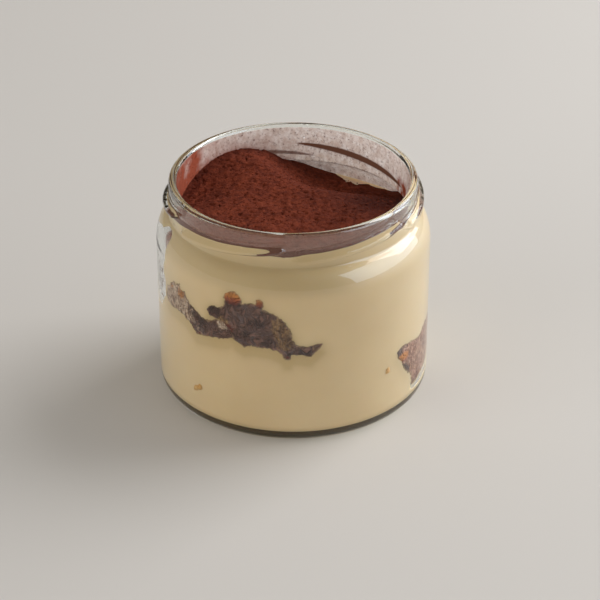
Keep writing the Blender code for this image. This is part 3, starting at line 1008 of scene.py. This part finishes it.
bm = cocoa_disc()
close_below(bm, COCOA_SIDE_DROP, COCOA_UNDERSIDE_Z)
cocoa = make_piece("cocoa_top", bm, cocoa_finish)
cocoa_places = places_on(cocoa)
add_attribute(cocoa, "damp", painted_shade_and_edge_of(cocoa_places))
add_attribute(cocoa, "pressed", pressed_of(cocoa_places))
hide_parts("cocoa_layer")

# %% [markdown]
# ## Loose grains and crumbs
# Powder also lies in small loose lumps. One lump is a small icosphere, pushed out of round. Its
# points are repeated at many places, each with its own size and turn, and joined into one mesh, so
# that thousands of grains stay a single light piece.

# %% Scattering lumps
def lump_template(seed):
    """The points and faces of one small lump."""
    bm = bmesh.new()
    bmesh.ops.create_icosphere(bm, subdivisions=1, radius=1.0)
    points = points_of(bm)
    points *= (1.0 + 0.28 * rough(points, 1.2, 2, seed))[:, None]
    faces = np.array([[vert.index for vert in face.verts] for face in bm.faces])
    bm.free()
    return points, faces


def scatter(name, places, sizes, finish, flatten=1.0, seed=1):
    """One mesh with a lump at every place; flatten squeezes the lumps along Z."""
    draws = np.random.default_rng(seed)
    points, faces = lump_template(seed)
    all_points, all_faces = [], []
    for number, (place, size) in enumerate(zip(places, sizes)):
        turn = Matrix.Rotation(draws.uniform(0, 2 * pi), 3, Vector(draws.normal(size=3)).normalized())
        stretch = np.array([1.0, draws.uniform(0.6, 1.0), draws.uniform(0.5, 0.9)])
        lump = (points * stretch) @ np.array(turn).T
        lump[:, 2] *= flatten
        all_points.append(place + lump * size)
        all_faces.append(faces + number * len(points))
    mesh = bpy.data.meshes.new(name)
    mesh.from_pydata(np.concatenate(all_points).tolist(), [], np.concatenate(all_faces).tolist())
    bm = bmesh.new()
    bm.from_mesh(mesh)
    bpy.data.meshes.remove(mesh)
    return make_piece(name, bm, finish)


# %% Loose lumps of cocoa
def cocoa_height(x, y):
    """Height of the cocoa without its relief."""
    return cream_top(x, y) + COCOA_DEPTH


chance = np.random.default_rng(11)
GRAINS = 2600
spread = np.sqrt(chance.uniform(0, 1, GRAINS)) * (NECK_INSIDE - 1.2 * MM)
heading = chance.uniform(-180, 180, GRAINS)
grain_places = from_polar(heading, spread, heading * 0.0)
sizes = chance.uniform(0.10, 0.34, GRAINS) ** 1.4 * 1.6 * MM
heaps, lumps = cocoa_relief(grain_places)
grain_places[:, 2] = cocoa_height(grain_places[:, 0], grain_places[:, 1])
grain_places[:, 2] += heaps
grain_places[:, 2] += lumps
grains = scatter("cocoa_lumps", grain_places, sizes, cocoa_finish, 0.8, 3)

# %% [markdown]
# ## Dust on the inside of the neck
# Cocoa clings to the glass above the layer: thick and reddish behind on the left, in smears behind on
# the right. Elsewhere the glass has a whitish breath of cream with specks in it. A veil can't be built
# from grains alone, so it is a thin closed shell just inside the glass. Its colour and its opacity
# follow attributes and are broken up by fine noise. Real grains lie on top of it.

# %% Where the dust clings
def dust_amount(angle, height):
    """How much cocoa clings to the wall, from 0 to 1."""
    wall_place = from_polar(angle, np.full_like(angle, NECK_INSIDE), height)
    level = cocoa_height(wall_place[:, 0], wall_place[:, 1])
    above = np.clip((height - level) / MM, 0.0, None)
    left = bell(angle, -100.0, 32.0, 4)
    left_fade = bell(angle, -150.0, 26.0) * np.exp(-above / 5.0)
    right = bell(angle, 106.0, 12.0) * smooth_step((67 * MM - height) / (5 * MM))
    slanted = wall_place.copy()
    slanted[:, 2] = height * 0.35 + wall_place[:, 0] * 0.4
    streaks = np.clip(0.25 + rough(slanted, 2.2 * MM, 4, 9.0) * 1.5, 0.0, 1.0)
    lumps = rough(wall_place, 5 * MM, 4, 10.0)
    total = 0.14 + 0.08 * lumps + left * (0.66 + 0.30 * lumps) + 0.30 * left_fade
    total = total + right * streaks * 0.9 + 0.12 * np.exp(-above / 0.8)
    return np.clip(total, 0.0, 1.0)


def veil_amount(angle):
    """How dense the whitish breath is: thin in front, thick behind."""
    return 0.24 + 0.40 * smooth_step((np.abs(angle) - 75.0) / 45.0)


def streak(angle, height, first, last, low_z, rise, half):
    """1 along a slanting lens on the wall that starts at one angle and height and ends in points."""
    share = np.clip((angle - first) / (last - first), 0.0, 1.0)
    lens = half * np.sqrt(np.clip(4.0 * share * (1.0 - share), 0.0, 1.0))
    away = np.abs(height - low_z - rise * share)
    return smooth_step((lens - away) / (0.3 * MM)) * (lens > 0)


def painted_streak_amount(angle, height):
    """Painted streaks: slanting dark streaks behind, in line with the lugs, that stand in for the dark
    lines the glass lugs behind show by bending light, and a fine dark line below them.
    """
    turned = np.mod(angle, 360.0)
    long_one = streak(turned, height, 108.0, 179.0, 61.4 * MM, 3.8 * MM, 1.25 * MM)
    short_one = streak(turned, height, 169.0, 215.0, 61.0 * MM, 2.8 * MM, 0.8 * MM)
    fine = streak(turned, height, 122.0, 182.0, 59.4 * MM, -0.8 * MM, 0.42 * MM)
    return np.maximum(np.maximum(long_one, 0.8 * short_one), 0.55 * fine)


print("dust behind on the left %.2f, in front %.2f" % tuple(
    dust_amount(np.array([-110.0, 0.0]), np.array([66 * MM, 66 * MM]))))

# %% Film shape
FILM_LOW = 50.5 * MM
FILM_HIGH = 71.0 * MM
FILM_ROWS = 90
FILM_SEGMENTS = 240
FILM_GAP = 0.02 * MM
FILM_THICK = 0.03 * MM


def film_profile():
    rows = np.linspace(FILM_LOW, FILM_HIGH, FILM_ROWS)
    outer = [(float(inner_wall(z, -FILM_GAP)), z) for z in rows]
    inner = [(float(inner_wall(z, -FILM_GAP - FILM_THICK)), z) for z in rows[::-1]]
    return outer + inner + outer[:1]


# %% [markdown]
# The veil is see-through by its alpha: more where there is dust, less between the grains. Light that
# comes through such a veil from behind makes it glow softly. A thin shell doesn't pass light on in
# that way, so a faint light of its own colour stands in for it.

# %% Film finish
film_finish = Finish("cocoa dust on glass")
dust = film_finish.attribute("dust")
speck = film_finish.grain(1100.0, 4.0, 0.75)
cloud = film_finish.grain(460.0, 5.0, 0.7, film_finish.place((1.0, 1.0, 0.75)))
veil = film_finish.attribute("veil")
caked = film_finish.attribute("caked")
pinch = film_finish.ramp(speck, [(0.55, 0.0), (0.64, 0.7)])
alpha = veil + dust * 0.42 + (cloud - 0.5) * 0.6 * veil + pinch * (dust * 0.5 + 0.25) + caked * 0.7
behind = film_finish.ramp(veil, [(0.28, 0.0), (0.60, 1.0)])
misty = film_finish.ramp(cloud, [(0.38, 0.0), (0.62, 1.0)])
misty = film_finish.mix(misty, srgb(222, 202, 192), srgb(246, 238, 234))
breath = film_finish.mix(behind, srgb(176, 134, 122), misty)
thick_dust = film_finish.ramp(dust, [(0.18, 0.0), (0.80, 1.0)])
film_colour = film_finish.mix(thick_dust, breath, srgb(156, 78, 56))
film_colour = film_finish.mix(pinch, film_colour, srgb(92, 44, 30))
# Painted dark streaks that stand in for the dark lines the lugs behind show in the glass.
film_colour = film_finish.mix(caked, film_colour, srgb(112, 76, 60))
glow = film_finish.mix(behind, srgb(0, 0, 0), film_colour)
film_finish.set(Base_Color=film_colour, Roughness=0.9, Emission_Color=glow, Emission_Strength=0.13,
                Alpha=film_finish.node("ShaderNodeClamp", None, {"Value": alpha}))
film_finish.shader.inputs["Specular IOR Level"].default_value = 0.1

film = make_piece("dust_film", spin_profile(film_profile(), FILM_SEGMENTS), film_finish)
film_angle, film_radius, film_height = polar(places_on(film))
add_attribute(film, "dust", dust_amount(film_angle, film_height))
add_attribute(film, "veil", veil_amount(film_angle))
add_attribute(film, "caked", painted_streak_amount(film_angle, film_height))

# %% [markdown]
# Real grains lie on the film, more of them where there is more dust, and only above the cocoa. Their
# places are drawn at random over the whole wall, and then only some are kept.

# %% Grains on the wall
WALL_GRAINS = 5200
heading = chance.uniform(-180, 180, WALL_GRAINS)
rise = 53 * MM + chance.uniform(0, 1, WALL_GRAINS) * 18 * MM
thick = dust_amount(heading, rise)
keep = chance.uniform(0, 1, WALL_GRAINS) < 0.25 + 0.75 * thick
wall_place = from_polar(heading, np.full_like(heading, NECK_INSIDE), rise)
keep &= rise > cocoa_height(wall_place[:, 0], wall_place[:, 1]) - 0.3 * MM
sizes = (0.05 + 0.14 * chance.uniform(0, 1, WALL_GRAINS) ** 3) * MM
wall_place = from_polar(heading, inner_wall(rise, -0.06 * MM), rise)
wall_grains = scatter("wall_grains", wall_place[keep], sizes[keep], cocoa_finish, 1.0, 4)

# %% [markdown]
# A few crumbs of sponge have strayed: specks in the pocket of air on the left, and orange ones from
# the crust in two places lower down. They are scattered lumps as well, pressed against the glass.

# %% Crumbs against the glass
def crumb_finish(name, grain_scale, dark, light):
    """A dull finish whose tone changes from crumb to crumb."""
    finish = Finish(name)
    tone = finish.ramp(finish.grain(grain_scale, 3.0), [(0.35, dark), (0.65, light)])
    finish.set(Base_Color=tone, Roughness=0.6)
    return finish


STRAY = 130
heading = chance.normal(-78.0, 5.0, STRAY)
rise = chance.normal(41.0, 4.0, STRAY) * MM
sizes = chance.uniform(0.14, 0.44, STRAY) * MM
places = from_polar(heading, inner_wall(rise, 0.05 * MM), rise)
stray_finish = crumb_finish("sponge crumb", 900.0, srgb(60, 38, 28), srgb(120, 80, 52))
specks = scatter("stray_crumbs", places, sizes, stray_finish, 1.0, 6)

BAKED_CRUMBS = np.array([
    (-46.5, 12.0, 1.4), (-45.2, 12.5, 1.6), (-43.9, 13.0, 1.4), (44.5, 19.2, 1.3), (44.2, 18.6, 1.2)])
heading, rise, sizes = BAKED_CRUMBS[:, 0], BAKED_CRUMBS[:, 1] * MM, BAKED_CRUMBS[:, 2] * MM
places = from_polar(heading, inner_wall(rise, REACH - 0.30 * MM), rise)
baked_finish = crumb_finish("baked crumb", 700.0, srgb(204, 148, 74), srgb(226, 184, 122))
baked_crumbs = scatter("baked_crumbs", places, sizes, baked_finish, 1.0, 7)
